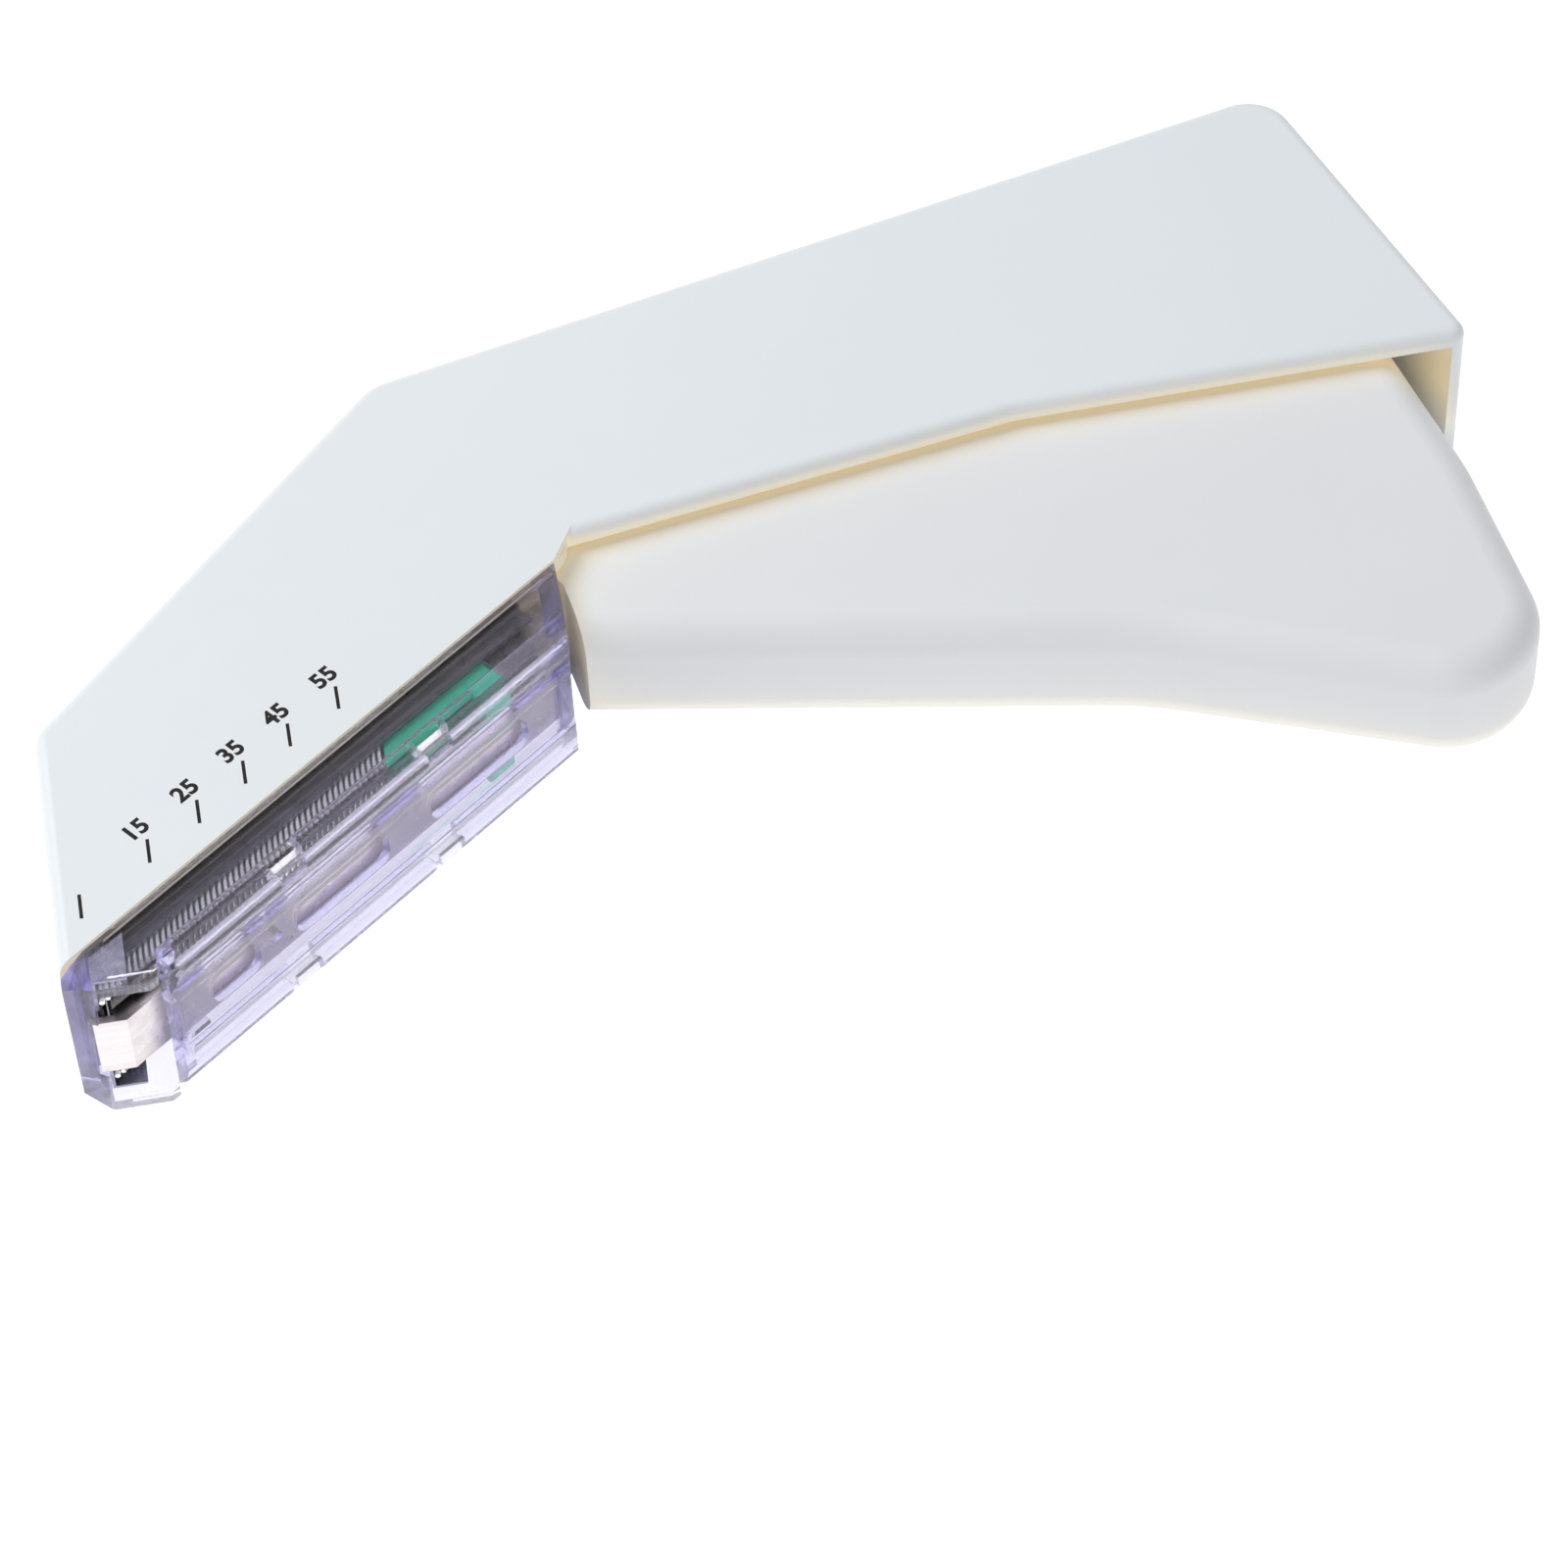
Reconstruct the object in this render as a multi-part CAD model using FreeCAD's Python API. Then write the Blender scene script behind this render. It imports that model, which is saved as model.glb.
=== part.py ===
import FreeCAD, Part
import math
import os

# Hand-held skin stapler lying on its side. +X runs from the nose to the tail, -Y is the
# direction in which staples are driven, +Z is the thickness. The origin is on the side face
# that the stapler rests on, at the axis of the lever's pivot. Millimetres throughout.

V = FreeCAD.Vector
os.makedirs("parts", exist_ok=True)

# Housing, measured from the head's lower front corner
WALL = 2.0
HEAD_HEIGHT = 29.9
HEAD_LENGTH = 38.7
HEAD_SLOPE = 46.6
GRIP_LENGTH = 102.1
GRIP_SLOPE = 13.4
TAIL_LOW = (153.9, 55.3)
RIM_BEND = (104.6, 54.0)
HEAD_REAR = 54.4
MAGAZINE_ANGLE = 38.0
EDGE_ROUND = 1.3
TAIL_ROUND = 5.0
CORNER_ROUND = 2.5
TAIL_LOW_ROUND = 1.5
HEAD_BEND_ROUND = 5.0
RIM_BEND_ROUND = 12.0

# Throat, where the head ends and the lever hinges, from the rear end of the head's lower edge
THROAT_OFFSET = (1.8, 3.2)
THROAT_SHARP = 3.0
PIVOT_OFFSET = (-1.9, 3.5)
LEVER_HUB_OFFSET = (-3.5, 6.7)
LEVER_TOP_OFFSET = (9.6, 12.0)
LEVER_BELLY_OFFSET = (1.8, -8.2)
LEVER_FRONT_DROP = 1.0

# Lever and its pivot
LEVER_ANGLE = 9.5
LEVER_SIDE_GAP = 0.9
LEVER_WALL = 1.8
LEVER_ROUND = 3.8
LEVER_TAIL_ROUND = 9.6
LEVER_BELLY_ROUND = 40.0
LEVER_TOP_BEND = (104.0, 61.0)
LEVER_REAR_TOP = (145.9, 60.0)
LEVER_REAR_BEND = (150.3, 41.0)
LEVER_TAIL = (154.5, 6.9)
LEVER_BELLY_BEND = (112.0, 23.9)
LEVER_FRONT_GAP = 0.7
LEVER_FRONT_WALL = 4.0
LEVER_RIBS = (88.0, 106.0, 124.0)
LEVER_RIB_TOP = 44.0
LEVER_RIB = 1.4
LEVER_POCKET_RISE = 15.0
LEVER_EDGE_END = 4.0
PIN_RADIUS = 2.0
PIN_CLEARANCE = 0.05
SEAT_CLEARANCE = 0.02
SOCKET_DEPTH = 1.0
HUB_RADIUS = 3.6
BOSS_GAP = 0.3

# Return spring between a shelf in the lever and a boss under the housing's back
SPRING_X = 72.0
SHELF_TOP = 52.0
SHELF_THICK = 2.0
SHELF_HALF = 5.5
SPRING_TOP = 73.0
SPRING_RADIUS = 3.1
SPRING_WIRE = 0.8
SPRING_TURNS = 7
SPIGOT_RADIUS = 1.9
SPIGOT_LENGTH = 4.0

# Driver: lever arm, trunnion pin, carrier and blade, hung below the head's front corner
ARM_TIP_X = 7.4
ARM_TIP_DROP = 3.9
ARM_WIDTH = 6.4
ARM_TIP_RADIUS = 2.4
ARM_ROOT_BACK = 2.0
ARM_ROOT_RISE = 3.5
ARM_ROOT_RADIUS = 4.2
TRUNNION_RADIUS = 1.5
SLOT_CLEARANCE = 0.15
CARRIER_SIDE = 0.4
CARRIER_FRONT_GAP = 0.5
CARRIER_WEB = 2.1
CARRIER_DROP = 1.1
CARRIER_HEIGHT = 12.3
CHEEK_HEIGHT = 5.8
CHEEK_GAP = 0.4
CHEEK_END_WALL = 1.4
CHEEK_ROUND = 0.8
BLADE_THICK = 0.6
BLADE_SIDE = 0.11
BLADE_REST = 0.56
BLADE_ROOT = 3.8
NOTCH_CLEARANCE = 0.4
GUIDE_PAD_GAP = 0.3
GUIDE_PAD_REAR = 12.0
GUIDE_PAD_LIFT = 0.5

# Cartridge shell, in magazine axes: u along the row of staples, n away from the skin
CARTRIDGE_SIDE = 0.2
CARTRIDGE_WALL = 1.4
PLATE_GAP = 0.15
UNDERSIDE = -7.8
COVER_TOP = -5.0
SHOULDER = 0.5
NOSE_LOW = -3.2
NOSE_CHAMFER_RUN = 2.8
NOSE_CHAMFER_TOP = -1.6
NOSE_SIDE_CHAMFER = 1.4
NOSE_WALL = 2.9
NOSE_OPENING_REAR = 9.4
WINDOW_RECESS = 0.4
WINDOW_FRONT = 4.6
WINDOW_LOW = -1.8
WINDOW_REAR_RIM = 1.5
TONGUE_GAP = 0.3
TONGUE_WALL = 0.7
TONGUE_DECK = 0.9
TONGUE_FRONT = 5.2
TONGUE_BACK = 5.6

# Cartridge cover
COVER_FLOOR = 1.0
COVER_BEVEL = 1.1
COVER_ROUND = 0.7
CHANNEL_DEPTH = 0.8
CHANNEL_LOW_Z = 5.6
CHANNEL_HIGH_Z = 16.4
WINDOW_SLOTS = ((12.5, 19.0), (24.0, 37.0), (43.0, 57.0))
WINDOW_SLOT_Z = (7.4, 11.4)
WINDOW_SLOT_ROUND = 1.4
GROOVE_FRONT_U = 8.6
GROOVE_BACK = 9.0
GROOVE_Z = (14.7, 16.1)
RAIL_Z = (12.9, 14.3)
RAIL_HEIGHT = 0.4
PEG_HOLE_U = 21.4
PEG_HOLE_Z = 10.0
PEG_HOLE_RADIUS = 0.6
CLIP_U = (22.0, 42.4)
CLIP_LENGTH = 4.2
CLIP_WINDOW = 3.4
CLIP_WINDOW_WIDTH = 1.4
CLIP_TAB = 0.5
CLIP_DEPTH = 1.7
CLIP_GAP = 0.15
COVER_FRONT_WALL = 1.6
SCOOP_RUN = 1.3
FRONT_BEVEL_RUN = 0.8
FRONT_BEVEL_LEVEL = -6.7
POST_U = 9.4
POST_LENGTH = 2.4
POST_THICK = 0.9
POST_INSET = 0.1

# Staples and what carries them
WIRE = 0.58
STAPLE_WIDTH = 12.0
STAPLE_LEG = 5.4
STAPLE_PITCH = 0.603
STAPLE_COUNT = 51
CROWN_LEVEL = 0.5
DRIVE_X = 3.6
GUIDE_SHEET = 0.4
GUIDE_TOP = 1.5
GUIDE_LOW = -2.1
STAPLE_SIDE_GAP = 0.31
TRACK_SIDE_GAP = 0.31
TRACK_SHEET = 0.5
TRACK_TOP = 0.05
TRACK_LOW = -4.3
TRACK_FRONT = 4.4
ANVIL_SIDE_GAP = 1.0
ANVIL_FRONT = 2.3
ANVIL_SHEET = 0.8
ANVIL_LOW = -2.8
ANVIL_LEVEL = -5.7
ANVIL_REAR_U = 9.6
ANVIL_GAP = 0.25
STRIP_SHEET = 0.5
STRIP_GAP = 0.15
KICKER_SHEET = 0.2
KICKER_WIDTH = 2.0
KICKER_INSET = 0.4
NOSE_PLATE = 0.3
NOSE_PLATE_TOP = 8.8
NOSE_PLATE_WING = 6.4
NOSE_PLATE_FIT = 0.02
END_WALL = 2.0
END_BOSS_BACK = 7.0

# Follower and its spring
FOLLOWER_GAP = 0.3
FOLLOWER_LENGTH = 12.5
FOLLOWER_SIDE = 0.65
FOLLOWER_LOW = -4.1
FOLLOWER_SIDE_GAP = 0.25
FOLLOWER_STRAP = 3.5
FOLLOWER_RIDE = 0.15
STRAP_SHEET = 0.45
PLUG_GAP = 0.2
FEED_LEVEL = -2.4
FEED_ROD_RADIUS = 0.9
FEED_ROD_GAP = 0.3
FEED_SPRING_RADIUS = 1.75
FEED_SPRING_WIRE = 0.4
FEED_SPRING_TURNS = 9

# Springs are wound as many-sided wire in short straight steps
COIL_STEPS = 12
COIL_SIDES = 6

# Longer than the whole part, for cutters that run right through
REACH = 300.0

# The head is as thick as the staples, their guide, the tongue and its own walls
THICKNESS = STAPLE_WIDTH + WIRE + 2 * (STAPLE_SIDE_GAP + GUIDE_SHEET + TONGUE_WALL + TONGUE_GAP + WALL)
TRACK_WIDTH = STAPLE_WIDTH - WIRE - 2 * TRACK_SIDE_GAP
ANVIL_WIDTH = TRACK_WIDTH - 2 * (TRACK_SHEET + ANVIL_SIDE_GAP)
BLADE_WIDTH = STAPLE_WIDTH + WIRE + 2 * BLADE_SIDE
CARRIER_WIDTH = BLADE_WIDTH + 2 * CARRIER_SIDE
MID = THICKNESS / 2
COS = math.cos(math.radians(MAGAZINE_ANGLE))
SIN = math.sin(math.radians(MAGAZINE_ANGLE))


def block(x0, x1, y0, y1, z0, z1):
    return Part.makeBox(x1 - x0, y1 - y0, z1 - z0, V(x0, y0, z0))


def mid_block(x0, x1, y0, y1, width):
    """A box centred across the thickness."""
    return block(x0, x1, y0, y1, MID - width / 2, MID + width / 2)


def rod(x, y, radius, z0, z1):
    return Part.makeCylinder(radius, z1 - z0, V(x, y, z0))


def prism(points, z0, z1):
    corners = [V(x, y, z0) for x, y in points]
    corners.append(corners[0])
    return Part.Face(Part.makePolygon(corners)).extrude(V(0, 0, z1 - z0))


def tilt(shape):
    """Turns a shape from magazine axes to the housing's axes."""
    turned = shape.copy()
    turned.rotate(V(0, 0, 0), V(0, 0, 1), MAGAZINE_ANGLE)
    return turned


def slab(n0, n1, z0, z1, u0=-REACH, u1=REACH):
    """A bar along the magazine, right through it where its ends aren't given."""
    return tilt(block(u0, u1, n0, n1, z0, z1))


def between(x0, x1=REACH):
    """All of space between two places along the stapler."""
    return block(x0, x1, -REACH, REACH, -REACH, REACH)


def at_level(x, n):
    """The point of the magazine line at level n that stands at x."""
    return (x, (n + x * SIN) / COS)


def level_at(y, n):
    """The point of the magazine line at level n that stands at y."""
    return ((y * COS - n) / SIN, y)


def mirrored(shape):
    """The same shape on the other side of the middle plane."""
    return shape.mirror(V(0, 0, MID), V(0, 0, 1))


def both_sides(shape):
    return [shape, mirrored(shape)]


def inset_corner(before, corner, after, gap_before, gap_after):
    """Corner of an outline moved inwards by one gap per side; the outline runs clockwise."""
    def moved(a, b, gap):
        length = math.dist(a, b)
        dx, dy = (b[0] - a[0]) / length, (b[1] - a[1]) / length
        return (a[0] + dy * gap, a[1] - dx * gap), (dx, dy)
    (px, py), (dx, dy) = moved(before, corner, gap_before)
    (qx, qy), (ex, ey) = moved(corner, after, gap_after)
    t = ((qx - px) * ey - (qy - py) * ex) / (dx * ey - dy * ex)
    return (px + t * dx, py + t * dy)


def round_upright(shape, point, radius):
    """Rounds the edge along Z that stands at a point of the outline."""
    def stands_there(edge):
        return len(edge.Vertexes) == 2 and all(math.dist((v.X, v.Y), point) < 0.01 for v in edge.Vertexes)
    return shape.makeFillet(radius, [edge for edge in shape.Edges if stands_there(edge)])


def helix_spring(radius, wire, length, turns):
    """A compression spring along +Z, with its wire's ends inside its length."""
    sections = []
    for step in range(COIL_STEPS * turns + 1):
        share = step / (COIL_STEPS * turns)
        turn = 2 * math.pi * turns * share
        height = wire / 2 + share * (length - wire)
        corners = []
        for side in range(COIL_SIDES + 1):
            lean = 2 * math.pi * side / COIL_SIDES
            reach = radius + wire / 2 * math.cos(lean)
            rise = wire / 2 * math.sin(lean)
            corners.append(V(reach * math.cos(turn), reach * math.sin(turn), height + rise))
        sections.append(Part.makePolygon(corners))
    return Part.makeLoft(sections, True, True)


def save(name, shape):
    solid = shape.removeSplitter() if shape.ShapeType != "Compound" or len(shape.Solids) < 5 else shape
    solid = solid.copy()
    solid.translate(V(-PIVOT[0], -PIVOT[1], 0))
    if not solid.isValid():
        print("not valid:", name)
    solid.exportStep("parts/" + name + ".step")
    print(name, len(solid.Solids), round(solid.Volume, 1))


def from_plate_rear(offset):
    """A point of the outline near the throat."""
    return (PLATE_REAR[0] + offset[0], PLATE_REAR[1] + offset[1])


# Housing outline corners
HEAD_TOP = HEAD_HEIGHT + HEAD_LENGTH * math.tan(math.radians(HEAD_SLOPE))
GRIP_TOP = HEAD_TOP + GRIP_LENGTH * math.tan(math.radians(GRIP_SLOPE))
FRONT_LOW = (0.0, 0.0)
FRONT_HIGH = (0.0, HEAD_HEIGHT)
BEND = (HEAD_LENGTH, HEAD_TOP)
TAIL_HIGH = (HEAD_LENGTH + GRIP_LENGTH, GRIP_TOP)
PLATE_REAR = at_level(HEAD_REAR, 0)
THROAT = from_plate_rear(THROAT_OFFSET)
PIVOT = from_plate_rear(PIVOT_OFFSET)
LEVER_HUB_TOP = from_plate_rear(LEVER_HUB_OFFSET)
LEVER_TOP_FRONT = from_plate_rear(LEVER_TOP_OFFSET)
LEVER_BELLY_FRONT = from_plate_rear(LEVER_BELLY_OFFSET)
LEVER_FRONT = (HEAD_REAR + LEVER_FRONT_GAP, PLATE_REAR[1] - LEVER_FRONT_DROP)
HOUSING_OUTLINE = [FRONT_LOW, FRONT_HIGH, BEND, TAIL_HIGH, TAIL_LOW, RIM_BEND, THROAT, PLATE_REAR]

# Heights in the head
ARM_TIP = (ARM_TIP_X, HEAD_HEIGHT - ARM_TIP_DROP)
CARRIER_TOP = HEAD_HEIGHT - CARRIER_DROP
CARRIER_LOW = CARRIER_TOP - CARRIER_HEIGHT
CHEEK_LOW = CARRIER_TOP - CHEEK_HEIGHT
BLADE_TOP = CARRIER_TOP - BLADE_ROOT
BLADE_LOW = at_level(DRIVE_X, CROWN_LEVEL)[1] + WIRE / 2 + BLADE_REST

# Lever travel at the trunnion
LEVER_LOW_Z = WALL + LEVER_SIDE_GAP
LEVER_HIGH_Z = THICKNESS - LEVER_LOW_Z
ARM_X = PIVOT[0] - ARM_TIP[0]
ARM_Y = PIVOT[1] - ARM_TIP[1]
SWING = math.radians(LEVER_ANGLE)
TIP_SHIFT = ARM_X * (1 - math.cos(SWING)) + ARM_Y * math.sin(SWING)
DRIVER_TRAVEL = ARM_X * math.sin(SWING) - ARM_Y * (1 - math.cos(SWING))

# Rear of the cartridge along the magazine
REAR_U = HEAD_REAR / COS
TONGUE_REAR_U = REAR_U - TONGUE_BACK
END_BOSS_U = REAR_U - END_BOSS_BACK

# Follower travel along the magazine
FOLLOWER_X = DRIVE_X + (STAPLE_COUNT - 1) * STAPLE_PITCH + WIRE / 2 + FOLLOWER_GAP
FOLLOWER_TRAVEL = (FOLLOWER_X - TRACK_FRONT) / COS


def housing():
    shell = prism(HOUSING_OUTLINE, 0, THICKNESS)
    for point, radius in ((FRONT_HIGH, CORNER_ROUND), (BEND, HEAD_BEND_ROUND), (TAIL_HIGH, TAIL_ROUND),
                          (TAIL_LOW, TAIL_LOW_ROUND), (RIM_BEND, RIM_BEND_ROUND)):
        shell = round_upright(shell, point, radius)

    def rim(edge):
        middle = edge.CenterOfMass
        on_plate = abs(middle.y * COS - middle.x * SIN) < 0.05
        by_throat = math.dist((middle.x, middle.y), PLATE_REAR) < THROAT_SHARP
        return edge.BoundBox.ZLength < 0.01 and not on_plate and not by_throat
    shell = shell.makeFillet(EDGE_ROUND, [edge for edge in shell.Edges if rim(edge)])
    inner_tail = inset_corner(BEND, TAIL_HIGH, TAIL_LOW, WALL, WALL)
    reach = 1.6
    rear_foot = (inner_tail[0] + reach * (TAIL_LOW[0] - TAIL_HIGH[0]),
                 inner_tail[1] + reach * (TAIL_LOW[1] - TAIL_HIGH[1]))
    cavity = prism([(WALL, -THICKNESS), inset_corner(FRONT_LOW, FRONT_HIGH, BEND, WALL, WALL),
                    inset_corner(FRONT_HIGH, BEND, TAIL_HIGH, WALL, WALL), inner_tail, rear_foot],
                   WALL, THICKNESS - WALL)
    cavity = round_upright(cavity, inner_tail, TAIL_ROUND - WALL)
    post = Part.makeCylinder(SPRING_RADIUS + SPRING_WIRE, REACH, V(SPRING_X, SPRING_TOP, MID), V(0, 1, 0))
    spigot = Part.makeCylinder(SPIGOT_RADIUS, SPIGOT_LENGTH, V(SPRING_X, SPRING_TOP - SPIGOT_LENGTH, MID),
                               V(0, 1, 0))
    post = post.common(prism(HOUSING_OUTLINE, 0, THICKNESS))
    boss_height = LEVER_SIDE_GAP - BOSS_GAP
    boss = rod(*PIVOT, HUB_RADIUS, WALL / 2, WALL + boss_height)
    pad_height = (THICKNESS - CARRIER_WIDTH) / 2 - WALL - GUIDE_PAD_GAP
    pad_low = at_level(GUIDE_PAD_REAR, GUIDE_TOP + TONGUE_DECK)[1] + GUIDE_PAD_LIFT
    pad = block(WALL / 2, GUIDE_PAD_REAR, pad_low, CARRIER_TOP, WALL / 2, WALL + pad_height)
    shell = shell.cut(cavity)
    shell = shell.fuse([post, spigot, *both_sides(boss), *both_sides(pad)])
    return shell.cut(rod(*PIVOT, PIN_RADIUS + SEAT_CLEARANCE, SOCKET_DEPTH, THICKNESS - SOCKET_DEPTH))


def link(a, radius_a, b, radius_b, z0, z1):
    """A bar between two round ends of different size."""
    length = math.dist(a, b)
    along = math.atan2(b[1] - a[1], b[0] - a[0])
    lean = math.acos((radius_a - radius_b) / length)
    corners = []
    for centre, radius, side in ((a, radius_a, 1), (b, radius_b, 1), (b, radius_b, -1), (a, radius_a, -1)):
        turn = along + side * lean
        corners.append((centre[0] + radius * math.cos(turn), centre[1] + radius * math.sin(turn)))
    bar = prism(corners, z0, z1)
    return bar.fuse([rod(*a, radius_a, z0, z1), rod(*b, radius_b, z0, z1)])


def lever():
    outline = [LEVER_HUB_TOP, LEVER_TOP_FRONT, LEVER_TOP_BEND, LEVER_REAR_TOP, LEVER_REAR_BEND, LEVER_TAIL,
               LEVER_BELLY_BEND, LEVER_BELLY_FRONT, LEVER_FRONT, PIVOT]
    body = prism(outline, LEVER_LOW_Z, LEVER_HIGH_Z)
    body = round_upright(body, LEVER_TAIL, LEVER_TAIL_ROUND)
    body = round_upright(body, LEVER_REAR_BEND, LEVER_BELLY_ROUND)
    body = round_upright(body, LEVER_BELLY_BEND, LEVER_BELLY_ROUND)

    def outer_edge(edge):
        middle = edge.CenterOfMass
        flat = edge.BoundBox.ZLength < 0.01
        on_top = (middle.y > LEVER_TOP_BEND[1] - LEVER_EDGE_END
                  or middle.x < LEVER_BELLY_FRONT[0] + LEVER_EDGE_END)
        near_front = middle.x < LEVER_TOP_BEND[0] and middle.y > LEVER_BELLY_FRONT[1]
        return flat and not on_top and not near_front
    body = body.makeFillet(LEVER_ROUND, [edge for edge in body.Edges if outer_edge(edge)])
    inside = [inset_corner(LEVER_TOP_BEND, LEVER_REAR_TOP, LEVER_REAR_BEND, -LEVER_POCKET_RISE, LEVER_WALL),
              inset_corner(LEVER_REAR_TOP, LEVER_REAR_BEND, LEVER_TAIL, LEVER_WALL, LEVER_WALL),
              inset_corner(LEVER_REAR_BEND, LEVER_TAIL, LEVER_BELLY_BEND, LEVER_WALL, LEVER_WALL),
              inset_corner(LEVER_TAIL, LEVER_BELLY_BEND, LEVER_BELLY_FRONT, LEVER_WALL, LEVER_WALL),
              inset_corner(LEVER_BELLY_BEND, LEVER_BELLY_FRONT, LEVER_FRONT, LEVER_WALL, LEVER_FRONT_WALL)]
    inside.append((inside[-1][0], LEVER_REAR_TOP[1] + LEVER_POCKET_RISE))
    pocket = prism(inside, LEVER_LOW_Z + LEVER_WALL, LEVER_HIGH_Z - LEVER_WALL)
    pocket = round_upright(pocket, inside[2], LEVER_TAIL_ROUND - LEVER_WALL)
    solid_body = body
    body = body.cut(pocket)
    web = THICKNESS - 2 * LEVER_LOW_Z - LEVER_WALL
    ribs = [mid_block(x, x + LEVER_RIB, LEVER_TAIL[1], LEVER_RIB_TOP, web).common(solid_body)
            for x in LEVER_RIBS]
    shelf = mid_block(SPRING_X - SHELF_HALF, SPRING_X + SHELF_HALF, SHELF_TOP - SHELF_THICK, SHELF_TOP, web)
    stay = mid_block(SPRING_X - LEVER_RIB / 2, SPRING_X + LEVER_RIB / 2, LEVER_BELLY_BEND[1], SHELF_TOP,
                     web).common(solid_body)
    spigot = Part.makeCylinder(SPIGOT_RADIUS, SPIGOT_LENGTH, V(SPRING_X, SHELF_TOP, MID), V(0, 1, 0))
    root = (PIVOT[0] - ARM_ROOT_BACK, PIVOT[1] + ARM_ROOT_RISE)
    arm = link(root, ARM_ROOT_RADIUS, ARM_TIP, ARM_TIP_RADIUS, MID - ARM_WIDTH / 2, MID + ARM_WIDTH / 2)
    hub = rod(*PIVOT, HUB_RADIUS, LEVER_LOW_Z, LEVER_HIGH_Z)
    body = body.fuse([*ribs, shelf, stay, spigot, arm, hub])
    body = body.cut(rod(*PIVOT, PIN_RADIUS + PIN_CLEARANCE, 0, THICKNESS))
    return body.cut(rod(*ARM_TIP, TRUNNION_RADIUS + SEAT_CLEARANCE, 0, THICKNESS))


def return_spring():
    coil = helix_spring(SPRING_RADIUS, SPRING_WIRE, SPRING_TOP - SHELF_TOP, SPRING_TURNS)
    coil.rotate(V(0, 0, 0), V(1, 0, 0), -90)
    coil.translate(V(SPRING_X, SHELF_TOP, MID))
    return coil


def driver_carrier():
    front = WALL + CARRIER_FRONT_GAP
    slot = TRUNNION_RADIUS + SLOT_CLEARANCE
    rear = ARM_TIP[0] + TIP_SHIFT + slot + CHEEK_END_WALL
    web = mid_block(front, front + CARRIER_WEB, CARRIER_LOW, CARRIER_TOP, CARRIER_WIDTH)
    cheeks = mid_block(front, rear, CHEEK_LOW, CARRIER_TOP, CARRIER_WIDTH)
    room = mid_block(front + CARRIER_WEB, REACH, -REACH, REACH, ARM_WIDTH + 2 * CHEEK_GAP)
    body = web.fuse(cheeks.cut(room))
    body = body.makeFillet(CHEEK_ROUND, [edge for edge in body.Edges if len(edge.Vertexes) == 2
                                 and edge.CenterOfMass.x > rear - 0.01 and edge.BoundBox.ZLength > 1])
    path = [rod(*ARM_TIP, slot, 0, THICKNESS), rod(ARM_TIP[0] + TIP_SHIFT, ARM_TIP[1], slot, 0, THICKNESS),
            block(ARM_TIP[0], ARM_TIP[0] + TIP_SHIFT, ARM_TIP[1] - slot, ARM_TIP[1] + slot, 0, THICKNESS)]
    for cutter in path:
        body = body.cut(cutter)
    return body.cut(blade_blank())


def blade_blank():
    return mid_block(DRIVE_X - BLADE_THICK / 2, DRIVE_X + BLADE_THICK / 2, BLADE_LOW, BLADE_TOP, BLADE_WIDTH)


def driver_blade():
    notch_top = ANVIL_LOW + ANVIL_SHEET + DRIVER_TRAVEL + NOTCH_CLEARANCE
    notch = mid_block(0, 2 * DRIVE_X, -REACH, notch_top, ANVIL_WIDTH + 2 * NOTCH_CLEARANCE)
    return blade_blank().cut(notch)


def cartridge_envelope():
    """Outer block of the cartridge below the head's plates."""
    under_front = level_at(NOSE_LOW, UNDERSIDE)
    return prism([at_level(0, -PLATE_GAP), at_level(HEAD_REAR, -PLATE_GAP), at_level(HEAD_REAR, UNDERSIDE),
                  under_front, (NOSE_CHAMFER_RUN, NOSE_LOW), (0, NOSE_CHAMFER_TOP)],
                 CARTRIDGE_SIDE, THICKNESS - CARTRIDGE_SIDE)


def cover_zone():
    """Where the cover takes over from the body."""
    return slab(-REACH, COVER_TOP, -REACH, REACH).common(between(NOSE_OPENING_REAR))


def anvil_room(front):
    """The space that the nose leaves for the anvil's tongue."""
    return mid_block(front, NOSE_WALL + WALL, -REACH, ANVIL_LOW + ANVIL_SHEET + ANVIL_GAP,
                     ANVIL_WIDTH + 2 * ANVIL_GAP)


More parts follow.
